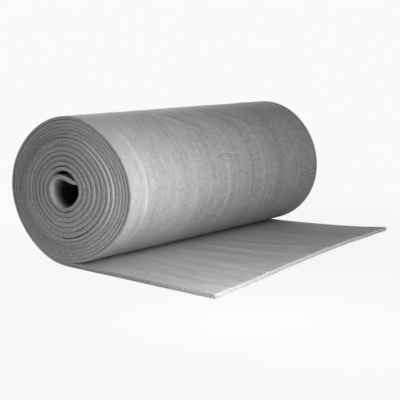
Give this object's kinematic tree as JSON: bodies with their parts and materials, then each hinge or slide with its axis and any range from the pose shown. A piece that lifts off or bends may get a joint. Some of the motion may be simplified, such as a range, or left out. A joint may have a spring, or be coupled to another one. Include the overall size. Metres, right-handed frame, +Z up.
{
  "type": "insulation roll",
  "caption": "Roll of grey closed-cell foam insulation sheet, lying on its side with an open bore and its outer end laid out flat on the floor.",
  "frame": {"origin": "on the floor, below the middle of the whole outline", "axes": "+X along the roll's axis, -Y the way the loose end points, +Z up"},
  "size_m": [1, 0.614, 0.3782],
  "materials": {
    "foam": "matt closed-cell foam"
  },
  "bodies": {
    "root": {"foam_roll": "foam"}
  },
  "joints": []
}
